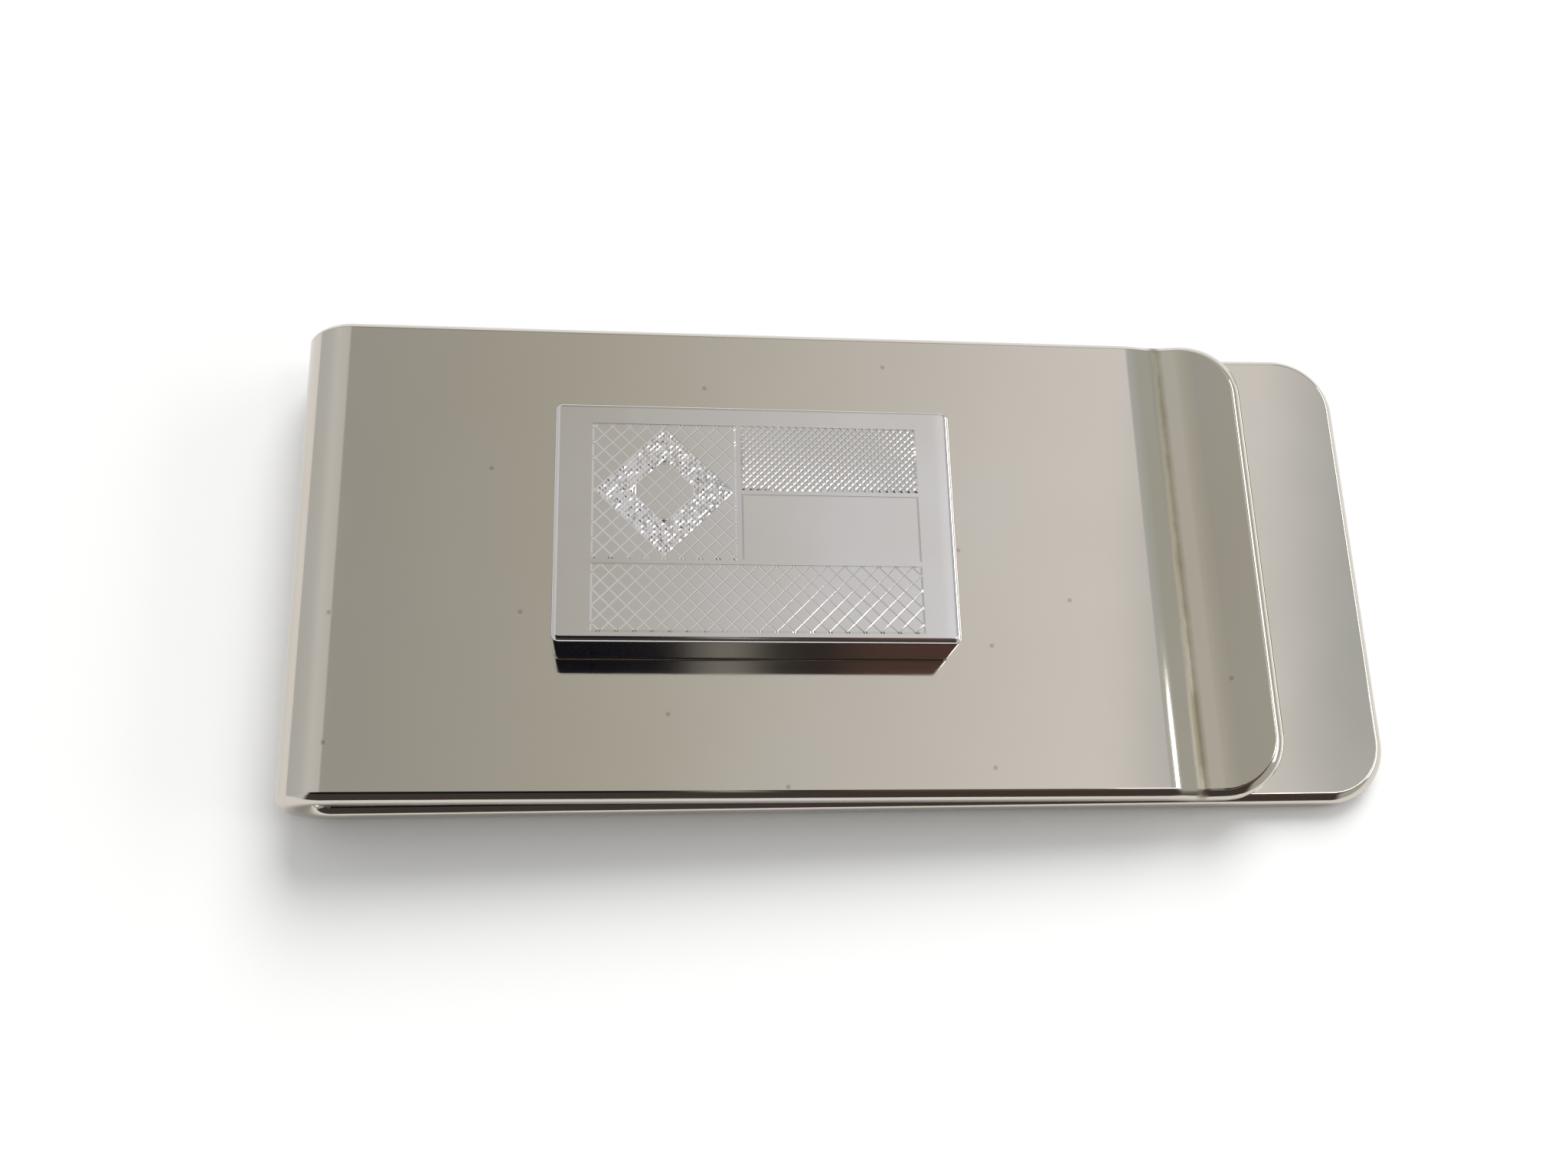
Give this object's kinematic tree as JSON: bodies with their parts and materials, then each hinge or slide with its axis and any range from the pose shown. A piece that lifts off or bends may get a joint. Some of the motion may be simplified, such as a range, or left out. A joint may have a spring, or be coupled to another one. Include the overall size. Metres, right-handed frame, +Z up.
{
  "type": "money clip",
  "caption": "Bent spring strip clip with a short creased front leaf, a longer back leaf and a bonded rectangular emblem plaque.",
  "frame": {"origin": "under the middle of the clip's bounding box, on the plane that the back leaf rests on", "axes": "+X from the spring bend to the free ends, +Y across the strip, +Z up through the plaque"},
  "size_m": [0.0564, 0.0254, 0.0077],
  "materials": {
    "polished_nickel": "polished nickel plate",
    "etched_pewter": "polished relief with etched hatching",
    "adhesive": "cured clear epoxy film"
  },
  "bodies": {
    "back": {"back_leaf": "polished_nickel", "spring_bend": "polished_nickel"},
    "front": {"front_leaf": "polished_nickel", "bond_film": "adhesive", "plaque": "etched_pewter"}
  },
  "joints": [
    {"name": "jaw_flex", "type": "hinge", "parent": "back", "child": "front", "pos_m": [-0.02565, 0, 0.00255], "axis": [0, -1, 0], "range_deg": [0, 9], "stiffness_Nm_per_rad": 2.5, "springref_deg": -3.44, "deforming": ["spring_bend"]}
  ]
}
